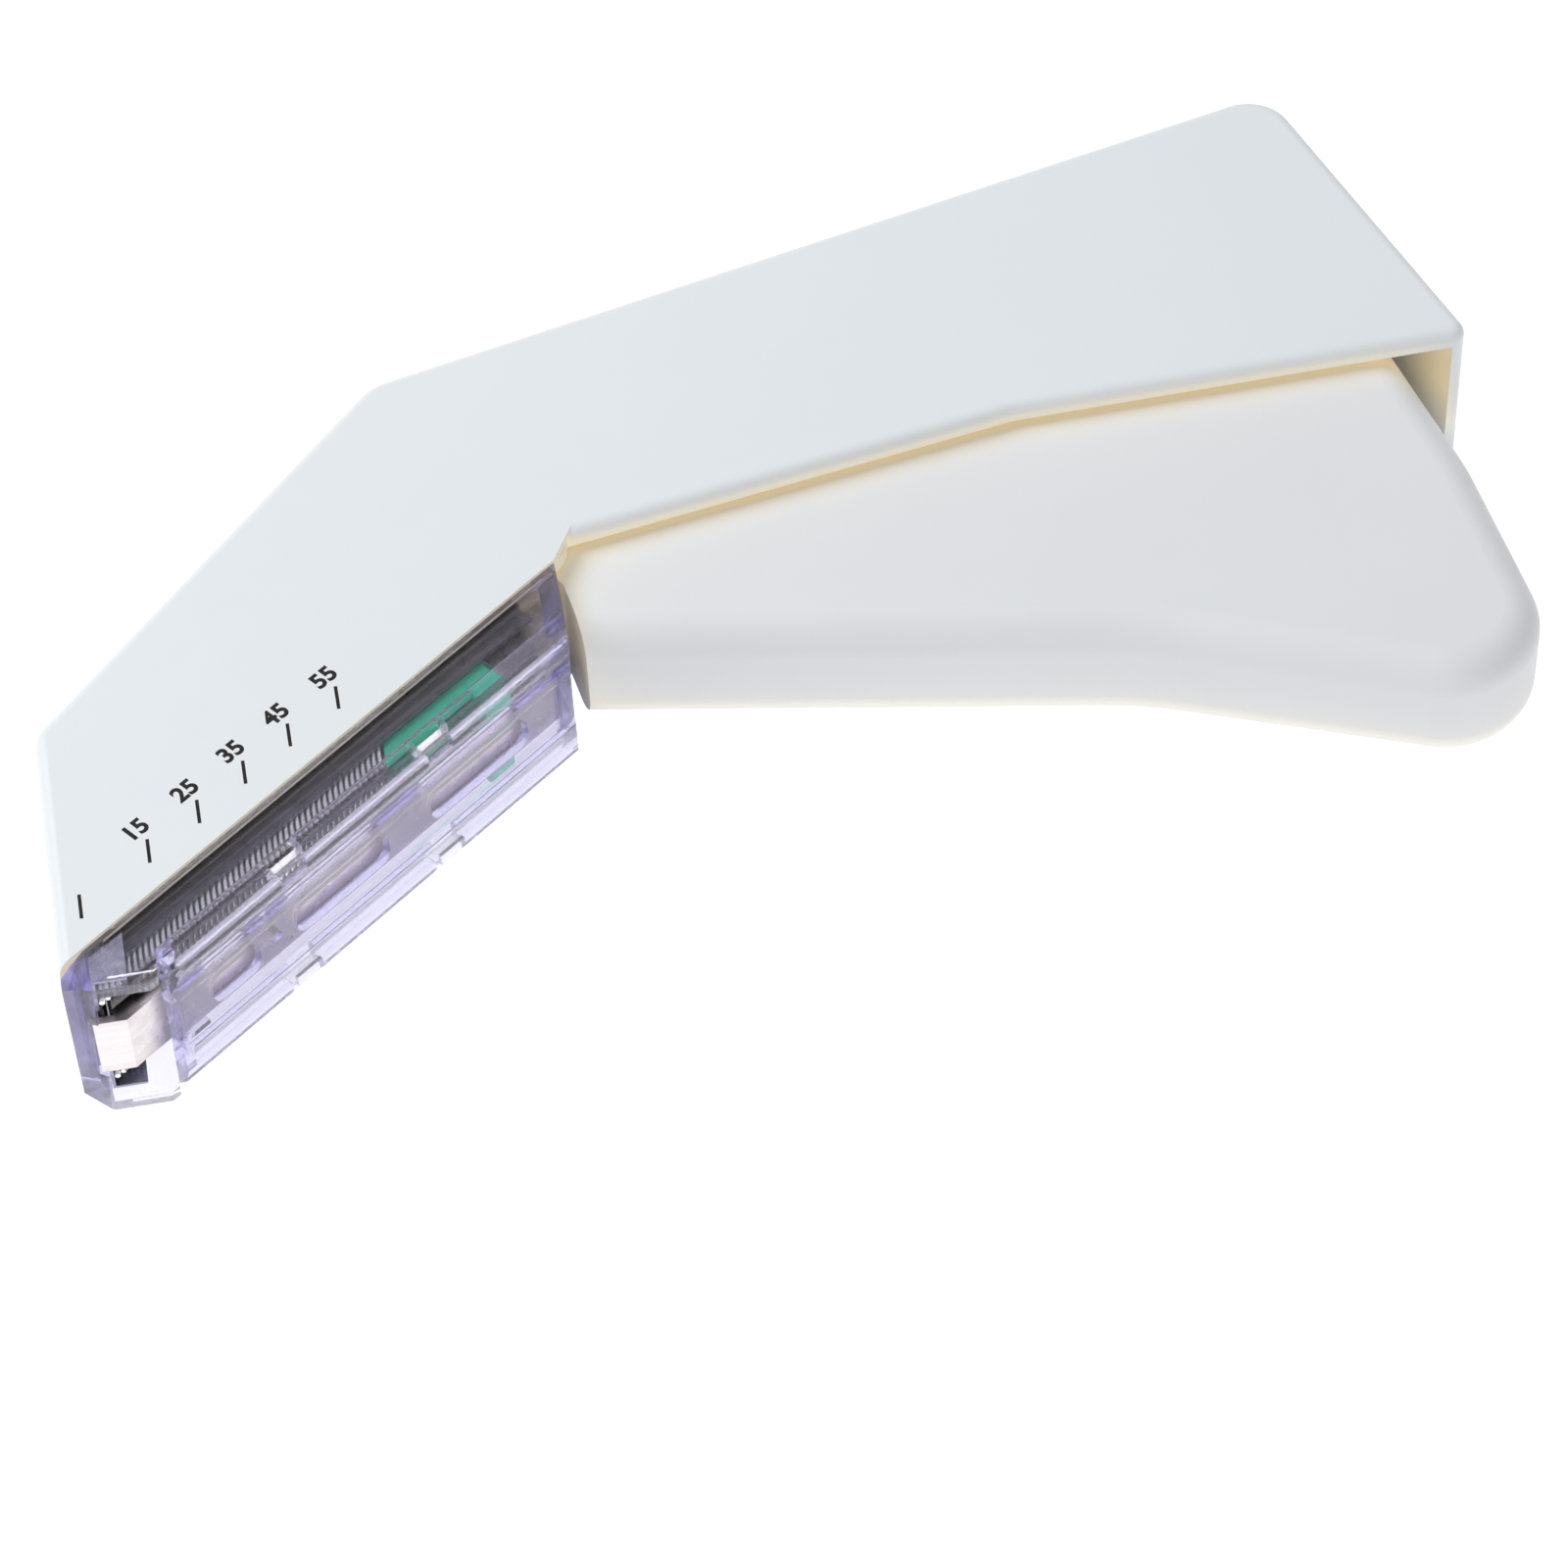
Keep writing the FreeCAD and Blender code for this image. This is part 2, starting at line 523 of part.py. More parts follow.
def cartridge_body():
    inner_z = CARTRIDGE_SIDE + CARTRIDGE_WALL
    tongue_z = WALL + TONGUE_GAP
    tongue_inner = tongue_z + TONGUE_WALL
    shoulder_low = -PLATE_GAP - SHOULDER
    body = cartridge_envelope().cut(cover_zone())
    run = NOSE_CHAMFER_RUN
    depth = CARTRIDGE_SIDE + NOSE_SIDE_CHAMFER
    wedge = [V(-run, -REACH, 0), V(-run, -REACH, 2 * depth), V(run, -REACH, 0), V(-run, -REACH, 0)]
    corner = Part.Face(Part.makePolygon(wedge)).extrude(V(0, 2 * REACH, 0))
    for piece in both_sides(corner):
        body = body.cut(piece)
    window_rear = HEAD_REAR - WINDOW_REAR_RIM
    below = COVER_TOP - WALL
    recess = prism([at_level(WINDOW_FRONT, shoulder_low), at_level(window_rear, shoulder_low),
                    at_level(window_rear, below), level_at(WINDOW_LOW, below), (WINDOW_FRONT, WINDOW_LOW)],
                   -WALL, CARTRIDGE_SIDE + WINDOW_RECESS)
    for piece in both_sides(recess):
        body = body.cut(piece)
    tongue = slab(shoulder_low, GUIDE_TOP + TONGUE_DECK, tongue_z, THICKNESS - tongue_z, u1=TONGUE_REAR_U)
    body = body.fuse(tongue.common(between(TONGUE_FRONT)))
    tunnel = slab(-REACH, shoulder_low, inner_z, THICKNESS - inner_z)
    upper = slab(shoulder_low - SHOULDER, GUIDE_TOP, tongue_inner, THICKNESS - tongue_inner)
    body = body.cut(tunnel.fuse(upper).common(between(NOSE_WALL)))
    body = body.cut(anvil_room(ANVIL_FRONT - ANVIL_GAP))
    tabs = []
    for u in CLIP_U:
        tab = slab(COVER_TOP - CLIP_DEPTH + CLIP_GAP, COVER_TOP + CLIP_TAB, inner_z - CLIP_TAB,
                   inner_z - SEAT_CLEARANCE, u + CLIP_GAP, u + CLIP_LENGTH - CLIP_GAP)
        tabs += both_sides(tab)
    return body.fuse(tabs)


def front_cut(level, run, z0):
    """Slopes the front of the cover away from the nose's opening, below a level."""
    high = at_level(NOSE_OPENING_REAR, level)
    low = at_level(NOSE_OPENING_REAR + run, UNDERSIDE)
    return prism([high, low, (low[0], -REACH), (0, -REACH), (0, high[1])], z0, THICKNESS - z0)


def cartridge_cover():
    inner_z = CARTRIDGE_SIDE + CARTRIDGE_WALL
    cover = cartridge_envelope().common(cover_zone())

    def long_edges(level):
        return [edge for edge in cover.Edges if edge.Length > HEAD_REAR / 2 and edge.BoundBox.ZLength < 0.01
                and abs(edge.CenterOfMass.y * COS - edge.CenterOfMass.x * SIN - level) < 0.01]
    cover = cover.makeChamfer(COVER_BEVEL, long_edges(UNDERSIDE))
    cover = cover.makeFillet(COVER_ROUND, long_edges(COVER_TOP))
    floor = UNDERSIDE + COVER_FLOOR
    roof = floor + CHANNEL_DEPTH
    behind = between(NOSE_OPENING_REAR + COVER_FRONT_WALL)
    channel = slab(-REACH, UNDERSIDE + CHANNEL_DEPTH, CHANNEL_LOW_Z, CHANNEL_HIGH_Z)
    room = slab(floor, REACH, inner_z, THICKNESS - inner_z)
    ridge = slab(-REACH, roof, CHANNEL_LOW_Z - COVER_FLOOR, CHANNEL_HIGH_Z + COVER_FLOOR)
    cover = cover.cut(channel.common(behind))
    cover = cover.cut(room.cut(ridge).common(behind))
    cover = cover.cut(slab(TRACK_LOW - ANVIL_SHEET, REACH, inner_z, THICKNESS - inner_z))
    strip_side = MID - ANVIL_WIDTH / 2 - ANVIL_GAP
    cover = cover.cut(slab(ANVIL_LEVEL - STRIP_GAP, REACH, strip_side, THICKNESS - strip_side))
    cover = cover.cut(front_cut(FRONT_BEVEL_LEVEL, FRONT_BEVEL_RUN, -WALL))
    cover = cover.cut(front_cut(ANVIL_LEVEL - STRIP_GAP, SCOOP_RUN, strip_side))
    for start, end in WINDOW_SLOTS:
        slot = block(start, end, UNDERSIDE - WALL, roof + COVER_FLOOR, *WINDOW_SLOT_Z)
        slot = slot.makeFillet(WINDOW_SLOT_ROUND, [edge for edge in slot.Edges if edge.BoundBox.YLength > 1])
        cover = cover.cut(tilt(slot))
    rail = slab(UNDERSIDE + CHANNEL_DEPTH - RAIL_HEIGHT, floor, *RAIL_Z)
    cover = cover.fuse(rail.common(cartridge_envelope()).common(behind))
    cover = cover.cut(slab(-REACH, roof + COVER_FLOOR, *GROOVE_Z, GROOVE_FRONT_U, REAR_U - GROOVE_BACK))
    peg = Part.makeCylinder(PEG_HOLE_RADIUS, REACH, V(PEG_HOLE_U, UNDERSIDE - WALL, PEG_HOLE_Z), V(0, 1, 0))
    cover = cover.cut(tilt(peg))
    clip_end = (CLIP_LENGTH - CLIP_WINDOW) / 2
    window_z = CARTRIDGE_SIDE + COVER_BEVEL
    for u in CLIP_U:
        notch = slab(COVER_TOP - CLIP_DEPTH, REACH, -WALL, inner_z + SEAT_CLEARANCE, u, u + CLIP_LENGTH)
        window = slab(-REACH, floor + COVER_FLOOR, window_z, window_z + CLIP_WINDOW_WIDTH,
                      u + clip_end, u + clip_end + CLIP_WINDOW)
        for piece in both_sides(notch) + both_sides(window):
            cover = cover.cut(piece)
    post_z = MID - TRACK_WIDTH / 2 + POST_INSET
    post = slab(roof - POST_INSET, TRACK_LOW, post_z, post_z + POST_THICK,
                POST_U, POST_U + POST_LENGTH)
    return cover.fuse(both_sides(post.common(behind)))


def staple_guide():
    """Steel cap over the crowns, closed above and open below."""
    outer_z = WALL + TONGUE_GAP + TONGUE_WALL
    inner_z = outer_z + GUIDE_SHEET
    cap = slab(GUIDE_LOW, GUIDE_TOP, outer_z, THICKNESS - outer_z, u1=TONGUE_REAR_U)
    room = slab(-REACH, GUIDE_TOP - GUIDE_SHEET, inner_z, THICKNESS - inner_z)
    return cap.cut(room).common(between(TONGUE_FRONT))


def staple_track():
    """Steel channel that the staples straddle, open towards the skin."""
    outer_z = MID - TRACK_WIDTH / 2
    inner_z = outer_z + TRACK_SHEET
    outer = slab(TRACK_LOW, TRACK_TOP, outer_z, THICKNESS - outer_z)
    room = slab(-REACH, TRACK_TOP - TRACK_SHEET, inner_z, THICKNESS - inner_z)
    return outer.cut(room).common(between(TRACK_FRONT, HEAD_REAR - END_WALL))


def anvil():
    """Block at the nose whose front tongue the staple is bent around, with the strip it is stamped on."""
    top = TRACK_TOP - TRACK_SHEET
    foot = level_at(ANVIL_LOW, ANVIL_LEVEL)
    rear_low = (ANVIL_REAR_U * COS - ANVIL_LEVEL * SIN, ANVIL_REAR_U * SIN + ANVIL_LEVEL * COS)
    rear_high = (ANVIL_REAR_U * COS - top * SIN, ANVIL_REAR_U * SIN + top * COS)
    outline = [(ANVIL_FRONT, ANVIL_LOW), (ANVIL_FRONT, ANVIL_LOW + ANVIL_SHEET),
               (TRACK_FRONT, ANVIL_LOW + ANVIL_SHEET), at_level(TRACK_FRONT, top), rear_high, rear_low, foot]
    side = MID - ANVIL_WIDTH / 2
    strip = slab(ANVIL_LEVEL, ANVIL_LEVEL + STRIP_SHEET, side, THICKNESS - side,
                 u0=ANVIL_REAR_U - STRIP_SHEET)
    strip = strip.common(between(ANVIL_FRONT, HEAD_REAR - END_WALL))
    return prism(outline, side, THICKNESS - side).fuse(strip)


def kicker_spring():
    low = ANVIL_LOW + ANVIL_SHEET
    high = at_level(TRACK_FRONT, TRACK_TOP - TRACK_SHEET)[1]
    strip = mid_block(TRACK_FRONT - KICKER_SHEET, TRACK_FRONT, low, high, KICKER_WIDTH)
    foot = mid_block(ANVIL_FRONT + KICKER_INSET, TRACK_FRONT, low, low + KICKER_SHEET, KICKER_WIDTH)
    return strip.fuse(foot)


def nose_guide():
    """Steel plate behind the nose's front wall, with a wing along each side wall."""
    inner_z = CARTRIDGE_SIDE + CARTRIDGE_WALL + NOSE_PLATE_FIT
    tongue_z = WALL + TONGUE_GAP + TONGUE_WALL + NOSE_PLATE_FIT
    front = NOSE_WALL + NOSE_PLATE_FIT
    plate = block(front, front + NOSE_PLATE, NOSE_CHAMFER_TOP, NOSE_PLATE_TOP, tongue_z, THICKNESS - tongue_z)
    high = -PLATE_GAP - SHOULDER - NOSE_PLATE_FIT
    foot = block(front, front + NOSE_PLATE, NOSE_CHAMFER_TOP, at_level(front, high)[1],
                 inner_z, THICKNESS - inner_z)
    wing = prism([(front, NOSE_CHAMFER_TOP), at_level(front, high), at_level(NOSE_PLATE_WING, high),
                  (NOSE_PLATE_WING, NOSE_CHAMFER_TOP)], inner_z, inner_z + NOSE_PLATE)
    guide = plate.fuse([foot, *both_sides(wing)])
    return guide.cut(anvil_room(0))


def cartridge_end():
    """Rear closure of the cartridge, with the seat of the feed spring."""
    inner_z = CARTRIDGE_SIDE + CARTRIDGE_WALL
    front = HEAD_REAR - END_WALL
    wall = slab(UNDERSIDE + COVER_FLOOR + CHANNEL_DEPTH, -PLATE_GAP - SHOULDER, inner_z, THICKNESS - inner_z)
    side = MID - TRACK_WIDTH / 2 + TRACK_SHEET
    boss = slab(TRACK_LOW + PLUG_GAP, TRACK_TOP - TRACK_SHEET, side, THICKNESS - side, u0=END_BOSS_U)
    return wall.common(between(front, HEAD_REAR)).fuse(boss.common(between(0, HEAD_REAR)))


def feed_rod():
    start = V(ANVIL_REAR_U, FEED_LEVEL, MID)
    return tilt(Part.makeCylinder(FEED_ROD_RADIUS, END_BOSS_U - ANVIL_REAR_U, start, V(1, 0, 0)))


def one_staple(x):
    """A staple standing ready to be driven, at its place in the row."""
    crown = at_level(x, CROWN_LEVEL)[1]
    half = WIRE / 2
    outer = STAPLE_WIDTH / 2 + half
    body = mid_block(x - half, x + half, crown - STAPLE_LEG, crown + half, 2 * outer)
    return body.cut(mid_block(x - WIRE, x + WIRE, -REACH, crown - half, 2 * (outer - WIRE)))


def staple_stack():
    return Part.makeCompound([one_staple(DRIVE_X + i * STAPLE_PITCH) for i in range(STAPLE_COUNT)])


def follower():
    """Saddle that pushes the row of staples, riding on the track."""
    inner_z = MID - TRACK_WIDTH / 2 - FOLLOWER_SIDE_GAP
    outer_z = inner_z - FOLLOWER_SIDE
    plug_z = MID - TRACK_WIDTH / 2 + TRACK_SHEET + FOLLOWER_SIDE_GAP
    top = GUIDE_TOP - GUIDE_SHEET - FOLLOWER_SIDE_GAP
    rear_u = FOLLOWER_X / COS + FOLLOWER_LENGTH
    strap_top = TRACK_LOW - FOLLOWER_RIDE
    strap_low = strap_top - STRAP_SHEET
    saddle = slab(FOLLOWER_LOW, top, outer_z, THICKNESS - outer_z, u1=rear_u)
    saddle = saddle.cut(slab(-REACH, TRACK_TOP + FOLLOWER_RIDE, inner_z, THICKNESS - inner_z))

    def rear_bar(n0, n1, z0, z1):
        return slab(n0, n1, z0, z1, rear_u - FOLLOWER_STRAP, rear_u)
    strap = rear_bar(strap_low, strap_top, outer_z, THICKNESS - outer_z)
    cheek = rear_bar(strap_low, FOLLOWER_LOW + FOLLOWER_RIDE, outer_z, inner_z)
    plug = rear_bar(strap_low, TRACK_TOP - TRACK_SHEET - PLUG_GAP, plug_z, THICKNESS - plug_z)
    body = saddle.fuse([strap, *both_sides(cheek), plug])
    bore = Part.makeCylinder(FEED_ROD_RADIUS + FEED_ROD_GAP, REACH, V(0, FEED_LEVEL, MID), V(1, 0, 0))
    return body.cut(tilt(bore)).common(between(FOLLOWER_X))


def feed_spring():
    start = FOLLOWER_X / COS + FOLLOWER_LENGTH
    coil = helix_spring(FEED_SPRING_RADIUS, FEED_SPRING_WIRE, END_BOSS_U - start, FEED_SPRING_TURNS)
    coil.rotate(V(0, 0, 0), V(0, 1, 0), 90)
    coil.translate(V(start, FEED_LEVEL, MID))
    return tilt(coil)


save("housing", housing())
save("lever", lever())
save("lever_pivot_pin", rod(*PIVOT, PIN_RADIUS, SOCKET_DEPTH, THICKNESS - SOCKET_DEPTH))
save("trunnion_pin", rod(*ARM_TIP, TRUNNION_RADIUS, MID - CARRIER_WIDTH / 2, MID + CARRIER_WIDTH / 2))
save("return_spring", return_spring())
save("driver_carrier", driver_carrier())
save("driver_blade", driver_blade())
save("cartridge_body", cartridge_body())
save("cartridge_cover", cartridge_cover())
save("cartridge_end", cartridge_end())
save("staple_guide", staple_guide())
save("staple_track", staple_track())
save("anvil", anvil())
save("kicker_spring", kicker_spring())
save("nose_guide", nose_guide())
save("feed_rod", feed_rod())
save("feed_spring", feed_spring())
save("follower", follower())
save("staple_stack", staple_stack())
print("driver travel %.3f mm, per radian %.3f mm" % (DRIVER_TRAVEL, DRIVER_TRAVEL / SWING))
print("follower travel %.3f mm" % FOLLOWER_TRAVEL)
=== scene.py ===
import math

import bmesh
import bpy
from mathutils import Matrix, Quaternion, Vector


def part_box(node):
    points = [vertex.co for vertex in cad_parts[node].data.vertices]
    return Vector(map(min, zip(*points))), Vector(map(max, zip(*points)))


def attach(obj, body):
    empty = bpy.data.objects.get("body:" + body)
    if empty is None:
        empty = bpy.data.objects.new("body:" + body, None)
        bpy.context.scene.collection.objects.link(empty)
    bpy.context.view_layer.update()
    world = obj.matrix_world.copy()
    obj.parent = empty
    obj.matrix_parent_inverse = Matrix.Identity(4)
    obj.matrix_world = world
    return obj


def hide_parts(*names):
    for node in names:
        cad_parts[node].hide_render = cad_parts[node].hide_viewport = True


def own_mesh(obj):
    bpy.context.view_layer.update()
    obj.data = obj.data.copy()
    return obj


# A skin stapler on a pale floor. Lengths below are millimetres from the head's lower front corner,
# as the frame's housing gives it, and place() turns them into metres in the frame.

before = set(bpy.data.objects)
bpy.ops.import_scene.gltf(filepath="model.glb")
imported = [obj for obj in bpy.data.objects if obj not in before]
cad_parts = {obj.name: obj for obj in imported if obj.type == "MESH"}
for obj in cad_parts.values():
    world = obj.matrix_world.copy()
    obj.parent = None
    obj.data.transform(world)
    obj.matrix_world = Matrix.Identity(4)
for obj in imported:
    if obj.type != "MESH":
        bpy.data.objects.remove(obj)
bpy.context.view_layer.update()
MM = 0.001
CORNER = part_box("housing")[0]
THICKNESS = (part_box("housing")[1].z - CORNER.z) / MM
MID = THICKNESS / 2

# Magazine axes: u runs along the row of staples, n away from the skin
MAGAZINE_ANGLE = math.radians(38.0)
COS, SIN = math.cos(MAGAZINE_ANGLE), math.sin(MAGAZINE_ANGLE)
ALONG = Vector((COS, SIN, 0))

# Camera: its near and far limits are in metres
AZIMUTH = math.radians(-7.47)
ELEVATION = math.radians(51.0)
ROLL = math.radians(-2.855)
AIM = (73.603, 17.003, 10.0)
DISTANCE = 548.74
LENS = 124.94
SENSOR_WIDTH = 36
NEAR_LIMIT = 0.05
FAR_LIMIT = 20

# Printed scale: the place of each tick's middle on the head's flat face, and the number over it
TICKS = (((2.8, 7.1), ""), ((10.0, 12.7), "15"), ((15.3, 16.7), "25"), ((20.3, 20.8), "35"),
         ((25.2, 24.7), "45"), ((30.5, 28.6), "55"))
TICK_LENGTH = 3.0
TICK_WIDTH = 0.36
DIGIT_SIZE = 2.7
DIGIT_BACK = 0.5
DIGIT_RISE = 2.2
DIGIT_BOLD = 0.09
DIGIT_SPACING = 1.02
INK_THICKNESS = 0.012

# Staples: the wires get a dark painted shade where their neighbours stand within its reach, and a row that
# is used up ends ahead of the place where the blade drives a staple
WIRE = 0.58
STAPLE_WIDTH = 12.0
STAPLE_LEG = 5.4
STAPLE_PITCH = 0.603
STAPLE_COUNT = 51
CROWN_LEVEL = 0.5
DRIVE_X = 3.6
WIRE_BEND = 0.55
WIRE_SIDES = 10
BEND_STEPS = 4
STAPLE_PAINTED_SHADE_REACH = 0.45

# Painted shade: hollows are painted darker or creamier. The share of open sky from which the painted
# shade colour starts to fade and where it has gone. Those of the moulded parts have a reach, and the
# foot of their walls stays plain up to the first height and is treated as the rest from the second one on.
PAINTED_SHADE_RUN = (0.35, 0.92)
PAINTED_SHADE_REACH = 12.0
WALL_FOOT = (3.0, 11.0)

# Painted glow: the hollows of the moulded parts emit light, standing in for light that comes through their
# thin walls
PAINTED_HOLLOW_GLOW = 0.1

# Share of the clear plastic that bends light; the rest lets it straight through
CLEAR_BODY = 0.8

# Colour sockets of a Mix node
MIX_A, MIX_B, MIX_RESULT = 6, 7, 2

# Studio, with its lengths in metres: the floor is a white light table just below the part
FLOOR_GLOW = 1.0
FLOOR_SIZE = 6.0
FLOOR_DROP = 0.0002
SKY = 0.62
LIGHT_AIM = (0.02, 0, 0.01)

# Springs
COIL_STEPS = 28
RETURN_SPRING = {"radius": 3.1, "wire": 0.8, "turns": 7, "start": (72.0, 52.0, 10.0), "length": 21.0}
FEED_SPRING = {"radius": 1.75, "wire": 0.4, "turns": 9, "level": -2.4}


def place(x, y, z):
    """A point in the frame, in metres, from millimetres."""
    return CORNER + MM * Vector((x, y, z))


def magazine(u, n, z):
    """A point given in magazine axes."""
    return place(u * COS - n * SIN, u * SIN + n * COS, z)


class Nodes:
    """Short calls to build one procedural material."""

    def __init__(self, name):
        self.material = bpy.data.materials.new(name)
        self.material.use_nodes = True
        self.tree = self.material.node_tree
        self.bsdf = self.tree.nodes["Principled BSDF"]
        self.output = self.tree.nodes["Material Output"]
        self.coords = self.tree.nodes.new("ShaderNodeTexCoord")

    def link(self, a, b):
        self.tree.links.new(a, b)

    def set(self, **values):
        for name, value in values.items():
            self.bsdf.inputs[name.replace("_", " ")].default_value = value

    def noise(self, scale, detail=3.0, stretch=(1, 1, 1), turn=0.0):
        mapping = self.tree.nodes.new("ShaderNodeMapping")
        mapping.inputs["Scale"].default_value = stretch
        mapping.inputs["Rotation"].default_value = (0, 0, turn)
        noise = self.tree.nodes.new("ShaderNodeTexNoise")
        noise.inputs["Scale"].default_value = scale
        noise.inputs["Detail"].default_value = detail
        self.link(self.coords.outputs["Object"], mapping.inputs["Vector"])
        self.link(mapping.outputs["Vector"], noise.inputs["Vector"])
        return noise.outputs["Fac"]

    def ramp(self, fac, stops):
        ramp = self.tree.nodes.new("ShaderNodeValToRGB")
        ramp.color_ramp.elements[0].position = stops[0][0]
        ramp.color_ramp.elements[0].color = (*stops[0][1], 1)
        ramp.color_ramp.elements[1].position = stops[-1][0]
        ramp.color_ramp.elements[1].color = (*stops[-1][1], 1)
        for position, colour in stops[1:-1]:
            ramp.color_ramp.elements.new(position).color = (*colour, 1)
        self.link(fac, ramp.inputs["Fac"])
        return ramp.outputs["Color"]

    def spread(self, fac, low, high, start=0.3, end=0.7):
        """Maps part of a factor's run, by default the middle of a noise, to a range of values."""
        spread = self.tree.nodes.new("ShaderNodeMapRange")
        spread.inputs["From Min"].default_value = start
        spread.inputs["From Max"].default_value = end
        spread.inputs["To Min"].default_value = low
        spread.inputs["To Max"].default_value = high
        self.link(fac, spread.inputs["Value"])
        return spread.outputs["Result"]

    def painted_shade_mask(self, reach):
        """Mask for the painted shade: from 0 in a hollow, where the shade is painted in full, to 1 where no
        other surface stands within reach, in millimetres.
        """
        hollow = self.tree.nodes.new("ShaderNodeAmbientOcclusion")
        hollow.inputs["Distance"].default_value = reach * MM
        hollow.samples = 8
        return self.spread(hollow.outputs["AO"], 0.0, 1.0, *PAINTED_SHADE_RUN)

    def above_floor(self, painted_shade_mask, low, high):
        """Keeps the painted shade off the foot of the walls, as only the floor is near them."""
        axes = self.tree.nodes.new("ShaderNodeSeparateXYZ")
        self.link(self.coords.outputs["Object"], axes.inputs["Vector"])
        most = self.tree.nodes.new("ShaderNodeMath")
        most.operation = "MAXIMUM"
        self.link(painted_shade_mask, most.inputs[0])
        self.link(self.spread(axes.outputs["Z"], 1.0, 0.0, low * MM, high * MM), most.inputs[1])
        return most.outputs["Value"]

    def mix(self, factor, painted_shade_colour, colour):
        """Goes from a painted shade or glow colour at factor 0 to another, a fixed one or a linked one, at
        1.
        """
        mix = self.tree.nodes.new("ShaderNodeMix")
        mix.data_type = "RGBA"
        mix.inputs[MIX_A].default_value = (*painted_shade_colour, 1)
        self.link(factor, mix.inputs["Factor"])
        if isinstance(colour, tuple):
            mix.inputs[MIX_B].default_value = (*colour, 1)
        else:
            self.link(colour, mix.inputs[MIX_B])
        return mix.outputs[MIX_RESULT]

    def bump(self, fac, strength, distance):
        bump = self.tree.nodes.new("ShaderNodeBump")
        bump.inputs["Strength"].default_value = strength
        bump.inputs["Distance"].default_value = distance
        self.link(fac, bump.inputs["Height"])
        self.link(bump.outputs["Normal"], self.bsdf.inputs["Normal"])


def moulded_plastic(name, colour, shade, painted_shade_colour, roughness):
    """White moulded ABS: nearly even colour, faint flow marks, a satin texture, and a painted cream shade
    and painted glow in the hollows.
    """
    m = Nodes(name)
    surface = m.ramp(m.noise(34, 4), [(0.3, shade), (0.7, colour)])
    painted_shade_mask = m.above_floor(m.painted_shade_mask(PAINTED_SHADE_REACH), *WALL_FOOT)
    # Painted shade: the base colour turns to the cream painted shade colour in hollows
    m.link(m.mix(painted_shade_mask, painted_shade_colour, surface), m.bsdf.inputs["Base Color"])
    # Painted glow: the hollows emit the painted shade colour, fading to none in the open
    m.link(m.mix(painted_shade_mask, painted_shade_colour, (0, 0, 0)), m.bsdf.inputs["Emission Color"])
    m.link(m.spread(m.noise(260, 5), roughness - 0.04, roughness + 0.05), m.bsdf.inputs["Roughness"])
    m.bump(m.noise(120, 3), 0.02, 0.00005)
    m.set(IOR=1.5, Specular_IOR_Level=0.25, Emission_Strength=PAINTED_HOLLOW_GLOW)
    return m.material


def clear_plastic(name, colour, clearness, tint, density):
    """Tinted transparent polycarbonate: its colour comes from the depth of plastic that light crosses."""
    m = Nodes(name)
    shade = tuple(0.96 * channel for channel in colour)
    m.link(m.ramp(m.noise(60, 3), [(0.3, shade), (0.7, colour)]), m.bsdf.inputs["Base Color"])
    m.link(m.spread(m.noise(400, 4), 0.015, 0.06), m.bsdf.inputs["Roughness"])
    m.bump(m.noise(300, 2), 0.03, 0.00004)
    m.set(IOR=1.45, Transmission_Weight=clearness, Alpha=CLEAR_BODY)
    absorb = m.tree.nodes.new("ShaderNodeVolumeAbsorption")
    absorb.inputs["Color"].default_value = (*tint, 1)
    absorb.inputs["Density"].default_value = density
    m.link(absorb.outputs["Volume"], m.output.inputs["Volume"])
    return m.material


def steel(name, colour, shade, roughness, turn=0.0, painted_shade_colour=None, reach=2.0):
    """Stamped or drawn stainless: fine grain along one direction, with cloudy patches of polish.

    Where painted_shade_colour is given, the metal is painted that colour as shade in narrow gaps and under
    close covers.
    """
    m = Nodes(name)
    grain = m.noise(900, 6, (0.04, 1, 1), turn)
    surface = m.ramp(grain, [(0.3, shade), (0.7, colour)])
    if painted_shade_colour:
        surface = m.mix(m.painted_shade_mask(reach), painted_shade_colour, surface)
    m.link(surface, m.bsdf.inputs["Base Color"])
    m.link(m.spread(m.noise(700, 4), roughness - 0.06, roughness + 0.08), m.bsdf.inputs["Roughness"])
    m.bump(grain, 0.1, 0.00002)
    m.set(Metallic=1.0)
    return m.material


def acetal(name, colour, shade):
    m = Nodes(name)
    m.link(m.ramp(m.noise(220, 4), [(0.3, shade), (0.7, colour)]), m.bsdf.inputs["Base Color"])
    m.link(m.spread(m.noise(900, 3), 0.3, 0.42), m.bsdf.inputs["Roughness"])
    m.bump(m.noise(6000, 2), 0.1, 0.00003)
    return m.material


def printing_ink(name):
    m = Nodes(name)
    m.link(m.ramp(m.noise(2600, 4), [(0.35, (0.008, 0.007, 0.008)), (0.7, (0.02, 0.018, 0.02))]),
           m.bsdf.inputs["Base Color"])
    m.link(m.spread(m.noise(3000, 3), 0.55, 0.7), m.bsdf.inputs["Roughness"])
    m.set(Specular_IOR_Level=0.15)
    return m.material


def backdrop_paper(name):
    m = Nodes(name)
    m.link(m.ramp(m.noise(8, 4), [(0.3, (0.31, 0.31, 0.31)), (0.7, (0.33, 0.33, 0.33))]),
           m.bsdf.inputs["Base Color"])
    m.link(m.spread(m.noise(40, 4), 0.7, 0.85), m.bsdf.inputs["Roughness"])
    m.set(Specular_IOR_Level=0.1, Emission_Color=(1, 1, 1, 1), Emission_Strength=FLOOR_GLOW)
    return m.material


def mesh_object(name, mesh, material, body):
    piece = bpy.data.objects.new(name, mesh)
    bpy.context.collection.objects.link(piece)
    piece.data.materials.clear()
    piece.data.materials.append(material)
    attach(piece, body)
    return piece


